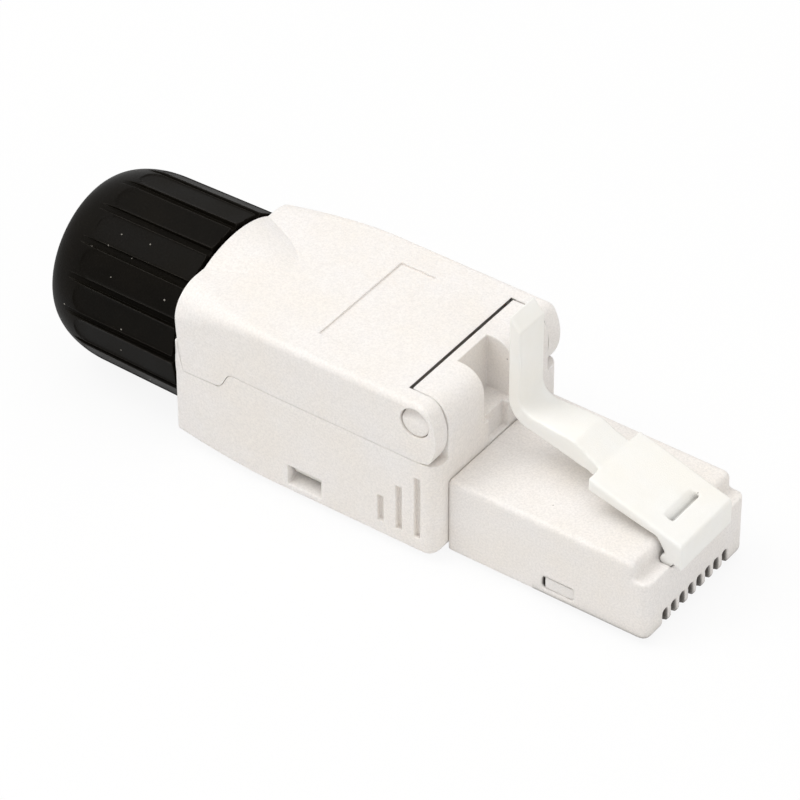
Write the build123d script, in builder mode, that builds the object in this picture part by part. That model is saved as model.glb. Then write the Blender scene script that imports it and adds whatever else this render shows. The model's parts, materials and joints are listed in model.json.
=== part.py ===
from build123d import *
import math
import os

os.makedirs("parts", exist_ok=True)

# Field termination plug: a modular network plug that is wired by hand, with a hinged lid over the
# wire terminals and a ribbed cap nut that clamps the cable. Millimetres. X runs along the plug with
# the mating nose at +X, Z is up, and the latch lever is on top.
# Every place along the plug is given as a distance behind the nose face, turned into X by at().

# Overall lengths along the plug
latch_overhang = 0.7
nose_to_housing = 15.8
housing_length = 21.85
cap_gap = 0.15
cap_barrel_length = 7.43
cap_dome_length = 4.45
cap_length = cap_barrel_length + cap_dome_length
housing_rear = nose_to_housing + housing_length
cap_front = housing_rear + cap_gap
cap_rear = cap_front + cap_length
overall_length = latch_overhang + cap_rear
nose_x = overall_length / 2 - latch_overhang

# General clearances, and how far a cut reaches past the face it starts from
seam_gap = 0.04
seat_clearance = 0.05
running_clearance = 0.06
overcut = 1.0
far_margin = 5.0

# Mating nose
plug_width = 11.68
plug_height = 6.1
plug_edge_radius = 0.35
nose_corner_radius = 0.6
plug_wall = 0.6
plug_floor = 0.95
plug_roof = 1.05
plug_rear_wall = 1.2
nose_wall = 1.35
sill_depth = 1.15
sill_height = 4.75
rail_end_radius = 0.5
spigot_length = 3.1
spigot_inset = 0.95
tunnel_start = 6.0
tunnel_width = 8.5
tunnel_height = 2.1

# Contacts
contact_count = 8
contact_pitch = 1.016
contact_thickness = 0.35
contact_slot_width = 0.58
contact_slot_height = 1.35
contact_slot_length = 6.2
contact_setback = 0.75
contact_rise = 0.5
contact_length = 5.0
contact_top = 2.25
contact_nose_radius = 0.65
contact_neck = 0.8
contact_tail = 1.6
pin_width = 0.6
carrier_length = 9.9
hook_root = 0.3
hook_lean = 0.35
hook_inset = 0.15

# Housing
housing_width = 14.4
housing_height = 12.5
housing_edge_radius = 0.5
housing_corner_radius = 1.0
housing_wall = 1.3
straight_length = 13.8
rear_wall = 1.5
rear_lip_height = 8.5
rear_side_draw = 0.35
rear_bottom_draw = 0.5
rear_corner_radius = 2.4
rear_ease = 1.6
rear_steps = 3

# Cap nut, nearly as wide as the housing
cap_inset = 0.12
cap_radius = housing_width / 2 - cap_inset
cap_barrel_draw = 0.14
cap_dome_radius = cap_radius - cap_barrel_draw
cable_bore_radius = 3.3
cap_end_rim = 1.42
cap_end_radius = cable_bore_radius + cap_end_rim
cap_facet_count = 16
cap_rest_turn = 12.25
groove_depth = 0.35
groove_floor_radius = cap_radius - groove_depth
groove_width = 0.45
groove_floor_width = 0.36
thread_room = 0.4
end_wall = 2.2

# The plug lies on the cap or on the housing, whichever reaches lower: here the cap, by a little
housing_below_axis = 6.6
cap_axis_z = max(cap_radius, housing_below_axis)
housing_lift = cap_axis_z - housing_below_axis
housing_top = housing_lift + housing_height
plug_top = housing_lift + plug_height

# Threaded collar on the rear of the base
collet_bore_room = 0.2
collet_bore_radius = cable_bore_radius + collet_bore_room
collet_wall = 0.5
collar_bore_radius = collet_bore_radius + collet_wall
collar_wall = 0.9
collar_radius = collar_bore_radius + collar_wall
collar_length = 5.0
flange_step = 0.75
flange_radius = collar_radius + flange_step
flange_setback = 0.1
arch_clearance = 0.15
bulge_inset = 0.16
bulge_radius = cap_radius - bulge_inset
bulge_length = 5.3
bulge_draw = 1.07
bulge_front_radius = bulge_radius - bulge_draw

# Lid and its hinge
seam_drop = 4.7
rear_seam_step = 1.5
rear_seam_fall = 0.7
seam_step_start = 16.6
seam_step_length = 1.7
seam_step_slope = 0.1
hinge_setback = 1.75
hinge_drop = 1.5
trunnion_radius = 1.1
ear_thickness = 1.35
ear_reach = 1.7
ear_foot_reach = 1.15
ear_brow_reach = 0.8
ear_belly_drop = 1.1
pillar_gap = 0.1
pillar_depth = 2.93
pillar_nose_radius = 1.8
trunnion_inset = 0.12
trunnion_lead = 0.7
trunnion_lead_margin = 0.1
recess_width = 3.4
recess_floor_rise = 0.3
recess_depth = 2.2
recess_foot_depth = 0.5
recess_rib = 0.55
lid_gap = 0.2
lid_roof = 1.2
lid_front_wall = 1.1
lid_lip_clearance = 0.12
ear_corner_radius = 1.2

# Shallow recess across the lid
panel_recess_length = 2.85
panel_recess_width = 9.4
panel_recess_depth = 0.15
panel_recess_setback = 5.35

# Latch lever
latch_width = 6.1
latch_arm_width = 2.8
latch_arm_root_width = 3.5
latch_thickness = 0.75
latch_root_radius = 0.5
latch_root_setback = 0.5
latch_shoulder = 6.66
latch_slope = 0.3125
latch_nose_rise = 6.55
latch_nose_drop = 2.1
latch_arm_rise = 10.05
latch_tip_rise = 17.7
latch_upright = 13.25
latch_upright_thickness = 0.9
slot_middle = 1.35
latch_slot_length = 3.2
latch_slot_width = 0.75
latch_slot_depth = 0.55
latch_root_rise = 0.1
latch_belly_start = 2.4
latch_belly_bend = 1.3
latch_belly_knee = 0.6
latch_belly_knee_drop = 1.1
latch_belly_foot = 0.3
latch_belly_foot_rise = 0.6
latch_front_bend = 1.3
latch_rear_bend = 2.0
latch_nose_round = 0.3
latch_neck_length = 2.1
latch_arm_thickness = 0.85
latch_tip_slant = 1.0

# Snap windows and grip slots in the sides
nose_window_length = 2.5
nose_window_height = 1.0
nose_window_setback = 7.0
nose_window_bottom = 0.65
base_window_length = 2.8
base_window_height = 1.65
base_window_setback = 10.85
base_window_bottom = 0.7
base_window_slope = 0.6
grip_width = 0.5
grip_depth = 0.4
grip_pitch = 1.5
grip_setback = 1.55
grip_bottom = 1.25
grip_heights = (5.1, 3.7, 2.2)

# Circuit board, terminal block and wire guide
board_thickness = 1.0
board_height = 2.9
board_front = 6.5
board_rear = 30.8
board_nose_width = 8.2
board_clearance = 0.7
board_shoulder_gap = 0.4
block_front = 21.3
block_length = 9.7
block_clearance = 0.5
block_height = 3.2
terminals_per_row = 4
terminal_pitch = 2.2
terminal_row_inset = 1.8
terminal_width = 1.5
terminal_thickness = 0.4
terminal_slit = 0.3
terminal_rise = 2.7
terminal_web = 0.8
wire_channel_width = 0.9
wire_channel_depth = 1.9
block_valley_width = 3.8
block_valley_depth = 1.4
leg_overlap = 0.6
leg_clearance = 0.1
leg_hook_root = 0.5
leg_hook_reach = 0.9
rest_width = 0.8
rest_front_inset = 0.4
rest_rear_inset = 0.5
guide_clearance = 0.3
guide_end_inset = 0.35
guide_web = 1.5
guide_chamfer = 0.4

# Clamp collet and clamp ring
collet_stub = 2.6
collet_flange_radius = collar_radius
collet_flange = 0.8
finger_tip_gap = 0.83
finger_tip_wall = 0.7
finger_tip_radius = collet_bore_radius + finger_tip_wall
finger_step = 0.1
finger_count = 8
finger_slit = 0.5
ring_setback = 0.3
ring_clearance = 0.12
thread_lead = 0.3
cap_edge_chamfer = 0.1


def at(setback):
    """X of the section that lies this far behind the nose face."""
    return nose_x - setback


def finish(builder, name):
    """Names a finished piece and writes it."""
    builder.part.label = name
    export_step(builder.part, f"parts/{name}.step")


# Outer form of the closed housing: a long box whose rear end draws in a little towards the round cap
hinge_x = at(nose_to_housing + hinge_setback)
hinge_z = housing_top - hinge_drop
housing_mid_z = housing_lift + housing_height / 2
rear_run = housing_length - straight_length

with BuildPart() as housing_form:
    for step in range(rear_steps + 1):
        share = step / rear_steps
        ease = share**rear_ease
        section_width = housing_width - 2 * rear_side_draw * ease
        section_height = housing_height - rear_bottom_draw * ease
        top_radius = housing_edge_radius + (rear_corner_radius - housing_edge_radius) * ease
        section_x = at(nose_to_housing + straight_length + share * rear_run)
        with BuildSketch(Plane.YZ.offset(section_x)) as section:
            with Locations((0, housing_top)):
                Rectangle(section_width, section_height, align=(Align.CENTER, Align.MAX))
            fillet(section.vertices().group_by(Axis.Y)[-1], top_radius)
            fillet(section.vertices().group_by(Axis.Y)[0], housing_edge_radius)
    loft()
    with BuildSketch(Plane.YZ.offset(at(nose_to_housing))):
        with Locations((0, housing_mid_z)):
            RectangleRounded(housing_width, housing_height, housing_edge_radius)
    extrude(amount=-straight_length)
    with BuildSketch(Plane.XZ):
        with BuildLine():
            Polyline(
                (at(housing_rear - bulge_length), cap_axis_z),
                (at(housing_rear - bulge_length), cap_axis_z + bulge_front_radius),
                (at(housing_rear), cap_axis_z + bulge_radius),
                (at(housing_rear), cap_axis_z),
                close=True,
            )
        make_face()
    revolve(axis=Axis((0, 0, cap_axis_z), (1, 0, 0)))

# Space above the seam: level over the front, then a step down towards the cap, ending on the lid's swing
seam_z = housing_top - seam_drop
rear_seam_z = seam_z - rear_seam_step
step_start_x = at(nose_to_housing + seam_step_start)
step_end_x = at(nose_to_housing + seam_step_start + seam_step_length)
rear_lip_swing = housing_length - hinge_setback - seam_gap
far_x = at(housing_rear + far_margin)
high_z = housing_top + far_margin

with BuildPart() as above_seam:
    with BuildSketch(Plane.XZ):
        with BuildLine():
            Line((at(0), high_z), (at(0), seam_z))
            Line((at(0), seam_z), (step_start_x, seam_z))
            Spline(
                (step_start_x, seam_z),
                (step_end_x, rear_seam_z),
                tangents=((-1, 0), (-1, -seam_step_slope)),
            )
            Line((step_end_x, rear_seam_z), (far_x, rear_seam_z - rear_seam_fall))
            Line((far_x, rear_seam_z - rear_seam_fall), (far_x, high_z))
            Line((far_x, high_z), (at(0), high_z))
        make_face()
        with Locations((hinge_x, hinge_z)):
            Circle(rear_lip_swing, mode=Mode.INTERSECT)
        with Locations((far_x, housing_lift + rear_lip_height)):
            Rectangle(2 * far_margin, high_z, align=(Align.MIN, Align.MIN))
    extrude(amount=housing_width, both=True)

# Mating nose: a hollow box with eight contact slots, a latch sill and two snap windows
spigot_width = plug_width - 2 * spigot_inset
spigot_height = plug_height - 2 * spigot_inset
spigot_z = housing_lift + plug_height / 2
sill_z = housing_lift + sill_height
slot_roof = housing_lift + contact_slot_height
latch_root_x = at(latch_root_setback)
latch_root_z = sill_z + latch_root_rise
plug_rear = nose_to_housing - seam_gap

with BuildPart() as plug_shell:
    with BuildSketch(Plane.XZ) as plug_side:
        with BuildLine():
            Polyline(
                (at(0), housing_lift),
                (at(0), sill_z),
                (at(sill_depth), sill_z),
                (at(sill_depth), plug_top),
                (at(plug_rear), plug_top),
                (at(plug_rear), housing_lift),
                close=True,
            )
        make_face()
        top_corners = plug_side.vertices().group_by(Axis.Y)[-1]
        fillet(top_corners.sort_by(Axis.X)[-1], rail_end_radius)
    extrude(amount=plug_width / 2, both=True)
    fillet(plug_shell.edges().filter_by(Axis.Z).group_by(Axis.X)[-1], nose_corner_radius)
    low_edges = plug_shell.edges().filter_by(Axis.X).group_by(Axis.Z)[0]
    high_edges = plug_shell.edges().filter_by(Axis.X).group_by(Axis.Z)[-1]
    fillet(low_edges + high_edges, plug_edge_radius)
    with BuildSketch(Plane.YZ.offset(at(plug_rear))):
        with Locations((0, spigot_z)):
            Rectangle(spigot_width, spigot_height)
    extrude(amount=-(spigot_length + seam_gap))
    cavity_height = plug_height - plug_floor - plug_roof
    with BuildSketch(Plane.YZ.offset(at(nose_wall))):
        with Locations((0, housing_lift + plug_floor + cavity_height / 2)):
            Rectangle(plug_width - 2 * plug_wall, cavity_height)
    extrude(amount=-(plug_rear - nose_wall - plug_rear_wall), mode=Mode.SUBTRACT)
    with BuildSketch(Plane.YZ.offset(at(tunnel_start))):
        with Locations((0, housing_lift + board_height + board_thickness / 2)):
            Rectangle(tunnel_width, tunnel_height)
    extrude(amount=-(plug_rear + spigot_length), mode=Mode.SUBTRACT)
    with BuildSketch(Plane.XZ) as slot_side:
        with BuildLine():
            Polyline(
                (at(-overcut), housing_lift - overcut),
                (at(-overcut), slot_roof),
                (at(contact_slot_length), slot_roof),
                (at(contact_slot_length), housing_lift - overcut),
                close=True,
            )
        make_face()
    slot = extrude(amount=contact_slot_width / 2, both=True, mode=Mode.PRIVATE)
    with GridLocations(1, contact_pitch, 1, contact_count):
        add(slot, mode=Mode.SUBTRACT)
    with Locations((at(nose_window_setback), 0, housing_lift + nose_window_bottom)):
        Box(
            nose_window_length,
            plug_width + overcut,
            nose_window_height,
            align=(Align.CENTER, Align.CENTER, Align.MIN),
            mode=Mode.SUBTRACT,
        )
    with BuildSketch(Plane.XZ):
        with Locations((latch_root_x, latch_root_z)):
            Circle(latch_root_radius + running_clearance)
    extrude(amount=latch_width / 2 + running_clearance, both=True, mode=Mode.SUBTRACT)
finish(plug_shell, "plug_shell")

# Contact carrier: fills the nose, holds the contacts in grooves and snaps into the side windows
carrier_bottom = housing_lift + plug_floor + seat_clearance
carrier_top = housing_lift + plug_height - plug_roof - seat_clearance
carrier_height = carrier_top - carrier_bottom
carrier_front = nose_wall + seat_clearance
carrier_width = plug_width - 2 * plug_wall - 2 * seat_clearance
board_z = housing_lift + board_height
contact_bottom = housing_lift + contact_rise
contact_top_z = housing_lift + contact_top
pin_rear = contact_setback + contact_length + contact_tail
pin_front = pin_rear - pin_width
contact_room = contact_thickness + 2 * seat_clearance

with BuildPart() as contact_carrier:
    with Locations((at(carrier_front), 0, carrier_bottom)):
        Box(
            carrier_length,
            carrier_width,
            carrier_height,
            align=(Align.MAX, Align.CENTER, Align.MIN),
        )
    with Locations((at(board_front - seat_clearance), 0, board_z - seat_clearance)):
        Box(
            carrier_length,
            board_nose_width + 2 * seat_clearance,
            board_thickness + 2 * seat_clearance,
            align=(Align.MAX, Align.CENTER, Align.MIN),
            mode=Mode.SUBTRACT,
        )
    with BuildSketch(Plane.XZ):
        with BuildLine():
            Polyline(
                (at(0), housing_lift),
                (at(0), contact_top_z + seat_clearance),
                (at(pin_front - seat_clearance), contact_top_z + seat_clearance),
                (at(pin_front - seat_clearance), board_z + board_thickness),
                (at(pin_rear + seat_clearance), board_z + board_thickness),
                (at(pin_rear + seat_clearance), housing_lift),
                close=True,
            )
        make_face()
    contact_groove = extrude(amount=contact_room / 2, both=True, mode=Mode.PRIVATE)
    with GridLocations(1, contact_pitch, 1, contact_count):
        add(contact_groove, mode=Mode.SUBTRACT)
    hook_top = housing_lift + nose_window_bottom + nose_window_height - seat_clearance
    hook_reach = plug_width / 2 - hook_inset
    with BuildSketch(Plane.YZ.offset(at(nose_window_setback))):
        with BuildLine():
            Polyline(
                (carrier_width / 2 - hook_root, carrier_bottom),
                (hook_reach - hook_lean, carrier_bottom),
                (hook_reach, hook_top),
                (carrier_width / 2 - hook_root, hook_top),
                close=True,
            )
        make_face()
        mirror(about=Plane.YZ)
    extrude(amount=nose_window_length / 2 - seat_clearance, both=True)
finish(contact_carrier, "contact_carrier")

# Contacts: flat blades with a rounded nose and a pin up into the board
for index in range(contact_count):
    contact_y = (index - (contact_count - 1) / 2) * contact_pitch
    with BuildPart() as contact:
        with BuildSketch(Plane.XZ.offset(-contact_y)) as blade:
            with BuildLine():
                Polyline(
                    (at(carrier_front), contact_top_z),
                    (at(carrier_front), slot_roof - seat_clearance),
                    (at(contact_setback), slot_roof - seat_clearance),
                    (at(contact_setback), contact_bottom),
                    (at(contact_setback + contact_length), contact_bottom),
                    (at(contact_setback + contact_length), contact_top_z - contact_neck),
                    (at(pin_rear), contact_top_z - contact_neck),
                    (at(pin_rear), board_z + board_thickness),
                    (at(pin_front), board_z + board_thickness),
                    (at(pin_front), contact_top_z),
                    close=True,
                )
            make_face()
            low_corners = blade.vertices().group_by(Axis.Y)[0]
            fillet(low_corners, contact_nose_radius)
        extrude(amount=contact_thickness / 2, both=True)
    finish(contact, f"contact_{index + 1}")

# Circuit board: narrow tongue in the nose, wider in the housing, with slots for all the pins
inner_width = housing_width - 2 * housing_wall
board_width = inner_width - 2 * board_clearance
block_width = inner_width - 2 * block_clearance
terminal_row_spacing = block_width - 2 * terminal_row_inset
block_mid = block_front + block_length / 2
row_middle = (terminals_per_row - 1) / 2
terminal_setbacks = [block_mid + (step - row_middle) * terminal_pitch for step in range(terminals_per_row)]
board_shoulder = nose_to_housing + spigot_length + board_shoulder_gap

with BuildPart() as circuit_board:
    with BuildSketch(Plane.XY.offset(board_z)):
        with BuildLine():
            Polyline(
                (at(board_front), board_nose_width / 2),
                (at(board_shoulder), board_nose_width / 2),
                (at(board_shoulder), board_width / 2),
                (at(board_rear), board_width / 2),
                (at(board_rear), 0),
                (at(board_front), 0),
                close=True,
            )
        make_face()
        mirror(about=Plane.XZ)
    extrude(amount=board_thickness)
    with BuildSketch(Plane.XY.offset(board_z)):
        with Locations((at((pin_front + pin_rear) / 2), 0)):
            with GridLocations(1, contact_pitch, 1, contact_count):
                Rectangle(pin_width + 2 * seat_clearance, contact_room)
        with Locations((at(block_mid), 0)):
            with GridLocations(terminal_pitch, terminal_row_spacing, terminals_per_row, 2):
                Rectangle(pin_width + 2 * seat_clearance, terminal_thickness + 2 * seat_clearance)
    extrude(amount=board_thickness, mode=Mode.SUBTRACT)
finish(circuit_board, "circuit_board")

# Terminal block: seats on the board and snaps into the windows in the sides of the base
block_z = board_z + board_thickness
block_top = block_z + block_height
base_inner = housing_width / 2 - housing_wall
leg_inner = board_width / 2 + leg_clearance
leg_length = base_window_length - guide_clearance
leg_bottom = housing_lift + housing_wall + seat_clearance
leg_hook_top = housing_lift + base_window_bottom + base_window_height - leg_clearance
window_x = at(nose_to_housing + base_window_setback)

with BuildPart() as terminal_block:
    with Locations((at(block_mid), 0, block_z)):
        Box(block_length, block_width, block_height, align=(Align.CENTER, Align.CENTER, Align.MIN))
    with Locations((at(block_mid), 0, block_top)):
        Box(
            block_length,
            block_valley_width,
            block_valley_depth,
            align=(Align.CENTER, Align.CENTER, Align.MAX),
            mode=Mode.SUBTRACT,
        )
    with BuildSketch(Plane.XY.offset(block_z)):
        with Locations((at(block_mid), 0)):
            with GridLocations(terminal_pitch, terminal_row_spacing, terminals_per_row, 2):
                Rectangle(terminal_width + 2 * seat_clearance, terminal_thickness + 2 * seat_clearance)
    extrude(amount=block_height, mode=Mode.SUBTRACT)
    with BuildSketch(Plane.XZ):
        with Locations((at(block_mid), block_top)):
            with GridLocations(terminal_pitch, 1, terminals_per_row, 1):
                Rectangle(wire_channel_width, wire_channel_depth, align=(Align.CENTER, Align.MAX))
    extrude(amount=block_width, both=True, mode=Mode.SUBTRACT)
    with BuildSketch(Plane.YZ.offset(window_x)):
        with BuildLine():
            Polyline(
                (block_width / 2 - leg_overlap, block_z),
                (leg_inner, block_z),
                (leg_inner, leg_bottom),
                (base_inner + leg_hook_root, leg_bottom),
                (base_inner + leg_hook_reach, leg_hook_top),
                (base_inner - seat_clearance, leg_hook_top),
                (base_inner - seat_clearance, block_z + leg_overlap),
                (block_width / 2 - leg_overlap, block_z + leg_overlap),
                close=True,
            )
        make_face()
        mirror(about=Plane.YZ)
    extrude(amount=leg_length / 2, both=True)
finish(terminal_block, "terminal_block")

# Insulation displacement terminals: forked plates, four along each side of the block
terminal_number = 0
for row_side in (-1, 1):
    for terminal_setback in terminal_setbacks:
        terminal_number += 1
        row_y = row_side * terminal_row_spacing / 2
        with BuildPart() as terminal:
            with BuildSketch(Plane.XZ.offset(-row_y)):
                with Locations((at(terminal_setback), block_z)):
                    Rectangle(terminal_width, terminal_rise, align=(Align.CENTER, Align.MIN))
                    Rectangle(pin_width, board_thickness, align=(Align.CENTER, Align.MAX))
                with Locations((at(terminal_setback), block_z + terminal_rise)):
                    Rectangle(
                        terminal_slit,
                        terminal_rise - terminal_web,
                        align=(Align.CENTER, Align.MAX),
                        mode=Mode.SUBTRACT,
                    )
            extrude(amount=terminal_thickness / 2, both=True)
        finish(terminal, f"idc_terminal_{terminal_number}")

# Base housing: floor, side walls and hinge pillars below the seam, with the threaded collar behind
pillar_outer = housing_width / 2 - ear_thickness - pillar_gap
pillar_rear = nose_to_housing + pillar_depth
cavity_rear = housing_rear - rear_wall
cavity_length = cavity_rear - pillar_rear
recess_floor_z = seam_z + recess_floor_rise
window_bottom_z = housing_lift + base_window_bottom
trunnion_reach = housing_width / 2 - trunnion_inset
lead_reach = trunnion_radius + trunnion_lead_margin
cap_axis = Axis((0, 0, cap_axis_z), (1, 0, 0))

with BuildPart() as base_housing:
    add(housing_form.part)
    add(above_seam.part, mode=Mode.SUBTRACT)
    fillet(base_housing.edges().filter_by(Axis.Z).group_by(Axis.X)[-1], housing_corner_radius)
    with BuildSketch(Plane.XZ) as pillar_side:
        with BuildLine():
            Polyline(
                (at(nose_to_housing), seam_z - overcut),
                (at(nose_to_housing), housing_top),
                (at(pillar_rear), housing_top),
                (at(pillar_rear), seam_z - overcut),
                close=True,
            )
        make_face()
        top_front = pillar_side.vertices().group_by(Axis.Y)[-1].sort_by(Axis.X)[-1]
        fillet(top_front, pillar_nose_radius)
    extrude(amount=pillar_outer, both=True)
    with BuildSketch(Plane.XZ):
        with Locations((hinge_x, hinge_z)):
            Circle(trunnion_radius)
    extrude(amount=trunnion_reach, both=True)
    with BuildSketch(Plane.YZ.offset(hinge_x)):
        with BuildLine():
            Polyline(
                (trunnion_reach, hinge_z),
                (trunnion_reach - trunnion_lead, hinge_z + lead_reach),
                (trunnion_reach + overcut, hinge_z + lead_reach),
                (trunnion_reach + overcut, hinge_z),
                close=True,
            )
        make_face()
        mirror(about=Plane.YZ)
    extrude(amount=lead_reach, both=True, mode=Mode.SUBTRACT)
    with Locations((at(nose_to_housing - overcut), 0, recess_floor_z)):
        Box(
            recess_depth + overcut,
            recess_width,
            housing_height,
            align=(Align.MAX, Align.CENTER, Align.MIN),
            mode=Mode.SUBTRACT,
        )
    with Locations((at(nose_to_housing - overcut), 0, plug_top)):
        Box(
            recess_foot_depth + overcut,
            recess_width - 2 * recess_rib,
            housing_height,
            align=(Align.MAX, Align.CENTER, Align.MIN),
            mode=Mode.SUBTRACT,
        )
    with Locations((at(pillar_rear), 0, housing_lift + housing_wall)):
        Box(
            cavity_length,
            inner_width,
            housing_height,
            align=(Align.MAX, Align.CENTER, Align.MIN),
            mode=Mode.SUBTRACT,
        )
    with BuildSketch(Plane.YZ.offset(at(nose_to_housing - overcut))):
        with Locations((0, spigot_z)):
            Rectangle(spigot_width + 2 * seat_clearance, spigot_height + 2 * seat_clearance)
    extrude(amount=-(pillar_depth + 2 * overcut), mode=Mode.SUBTRACT)
    with BuildSketch(Plane.XY.offset(housing_lift + housing_wall)):
        with Locations((at(block_front - rest_front_inset), 0), (at(board_rear - rest_rear_inset), 0)):
            Rectangle(rest_width, inner_width)
    extrude(amount=board_height - housing_wall)
    with BuildSketch(Plane.YZ.offset(window_x)):
        with BuildLine():
            Polyline(
                (base_inner - overcut, window_bottom_z + base_window_slope),
                (housing_width / 2, window_bottom_z),
                (housing_width / 2 + overcut, window_bottom_z),
                (housing_width / 2 + overcut, window_bottom_z + base_window_height),
                (base_inner - overcut, window_bottom_z + base_window_height),
                close=True,
            )
        make_face()
        mirror(about=Plane.YZ)
    extrude(amount=base_window_length / 2, both=True, mode=Mode.SUBTRACT)
    for order, grip_height in enumerate(grip_heights):
        grip_x = at(nose_to_housing + grip_setback + order * grip_pitch)
        grip_z = housing_lift + grip_bottom
        with Locations((grip_x, -housing_width / 2, grip_z), (grip_x, housing_width / 2, grip_z)):
            Box(
                grip_width,
                2 * grip_depth,
                grip_height,
                align=(Align.CENTER, Align.CENTER, Align.MIN),
                mode=Mode.SUBTRACT,
            )
    with BuildSketch(Plane.XZ):
        with BuildLine():
            Polyline(
                (at(cavity_rear), cap_axis_z + collar_bore_radius),
                (at(cavity_rear), cap_axis_z + collar_radius),
                (at(cavity_rear + flange_setback), cap_axis_z + collar_radius),
                (at(cavity_rear + flange_setback), cap_axis_z + flange_radius),
                (at(housing_rear - seam_gap), cap_axis_z + flange_radius),
                (at(housing_rear - seam_gap), cap_axis_z + collar_radius),
                (at(housing_rear + collar_length - thread_lead), cap_axis_z + collar_radius),
                (at(housing_rear + collar_length), cap_axis_z + collar_radius - thread_lead),
                (at(housing_rear + collar_length), cap_axis_z + collar_bore_radius),
                close=True,
            )
        make_face()
    revolve(axis=cap_axis)
    with BuildSketch(Plane.YZ.offset(at(cavity_rear - overcut))):
        with Locations((0, cap_axis_z)):
            Circle(collar_bore_radius)
    extrude(amount=-(rear_wall + 2 * overcut), mode=Mode.SUBTRACT)
finish(base_housing, "base_housing")

# Lid: the upper shell, hinged on the trunnions by two ears at its front
ear_inner = housing_width / 2 - ear_thickness
ear_front_x = hinge_x + ear_reach
ear_foot_x = hinge_x + ear_foot_reach
ear_brow_x = hinge_x + ear_brow_reach
ear_swing = hinge_z - seam_z - seam_gap
ear_low_z = hinge_z - math.sqrt(ear_swing**2 - ear_foot_reach**2)
lid_front = pillar_rear + lid_gap
pillar_corner_reach = math.hypot(pillar_depth - hinge_setback, hinge_drop)
lid_swing = rear_lip_swing - seam_gap
roof_z = housing_top - lid_roof
panel_recess_x = at(lid_front + panel_recess_setback + panel_recess_length / 2)

with BuildPart() as lid:
    add(housing_form.part)
    add(Pos(0, 0, seam_gap) * above_seam.part, mode=Mode.INTERSECT)
    with BuildSketch(Plane.XZ) as lid_side:
        with BuildLine():
            ThreePointArc(
                (ear_brow_x, housing_top),
                (ear_front_x, hinge_z - ear_belly_drop),
                (ear_foot_x, ear_low_z),
            )
            RadiusArc((ear_foot_x, ear_low_z), (hinge_x, hinge_z - ear_swing), ear_swing)
            Line((hinge_x, hinge_z - ear_swing), (hinge_x, 0))
            Line((hinge_x, 0), (far_x, 0))
            Line((far_x, 0), (far_x, high_z))
            Line((far_x, high_z), (hinge_x, high_z))
            Line((hinge_x, high_z), (hinge_x, housing_top))
            Line((hinge_x, housing_top), (ear_brow_x, housing_top))
        make_face()
        ear_corner = lid_side.vertices().sort_by_distance((ear_brow_x, housing_top))[0]
        fillet(ear_corner, ear_corner_radius)
    extrude(amount=housing_width, both=True, mode=Mode.INTERSECT)
    with BuildSketch(Plane.XZ):
        with Locations((hinge_x, hinge_z)):
            Circle(lid_swing)
    extrude(amount=housing_width, both=True, mode=Mode.INTERSECT)
    with Locations((at(lid_front), 0, 0)):
        Box(
            housing_length,
            2 * ear_inner,
            2 * high_z,
            align=(Align.MIN, Align.CENTER, Align.CENTER),
            mode=Mode.SUBTRACT,
        )
    with Locations((at(lid_front + lid_front_wall), 0, roof_z)):
        Box(
            cavity_rear - lid_front - lid_front_wall,
            inner_width,
            housing_height,
            align=(Align.MAX, Align.CENTER, Align.MAX),
            mode=Mode.SUBTRACT,
        )
    arch_radius = flange_radius + arch_clearance
    with BuildSketch(Plane.YZ.offset(at(cavity_rear - flange_setback))):
        with Locations((0, cap_axis_z)):
            Circle(arch_radius)
            Rectangle(2 * arch_radius, housing_height, align=(Align.CENTER, Align.MAX))
    extrude(amount=-(rear_wall + overcut), mode=Mode.SUBTRACT)
    with BuildSketch(Plane.XZ):
        with Locations((hinge_x, hinge_z)):
            Circle(pillar_corner_reach + lid_lip_clearance)
    extrude(amount=ear_inner, both=True, mode=Mode.SUBTRACT)
    with BuildSketch(Plane.XZ):
        with Locations((hinge_x, hinge_z)):
            Circle(trunnion_radius + running_clearance)
    extrude(amount=housing_width, both=True, mode=Mode.SUBTRACT)
    with Locations((panel_recess_x, 0, housing_top)):
        Box(panel_recess_length, panel_recess_width, 2 * panel_recess_depth, mode=Mode.SUBTRACT)
finish(lid, "lid")

# Wire guide: sits under the lid and presses the wires into the terminals
guide_bottom = block_top + guide_clearance
guide_length = block_length - 2 * guide_end_inset
guide_width = board_width
guide_valley_depth = roof_z - guide_bottom - guide_web

with BuildPart() as wire_guide:
    with Locations((at(block_mid), 0, roof_z)):
        Box(
            guide_length,
            guide_width,
            roof_z - guide_bottom,
            align=(Align.CENTER, Align.CENTER, Align.MAX),
        )
    with Locations((at(block_mid), 0, guide_bottom)):
        Box(
            guide_length + overcut,
            block_valley_width,
            guide_valley_depth,
            align=(Align.CENTER, Align.CENTER, Align.MIN),
            mode=Mode.SUBTRACT,
        )
    with BuildSketch(Plane.XZ):
        with Locations((at(block_mid), guide_bottom)):
            with GridLocations(terminal_pitch, 1, terminals_per_row, 1):
                Circle(wire_channel_width / 2 + seat_clearance)
    extrude(amount=guide_width, both=True, mode=Mode.SUBTRACT)
    upright_edges = wire_guide.edges().filter_by(Axis.Z)
    chamfer(upright_edges.group_by(Axis.X)[0] + upright_edges.group_by(Axis.X)[-1], guide_chamfer)
finish(wire_guide, "wire_guide")

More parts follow.
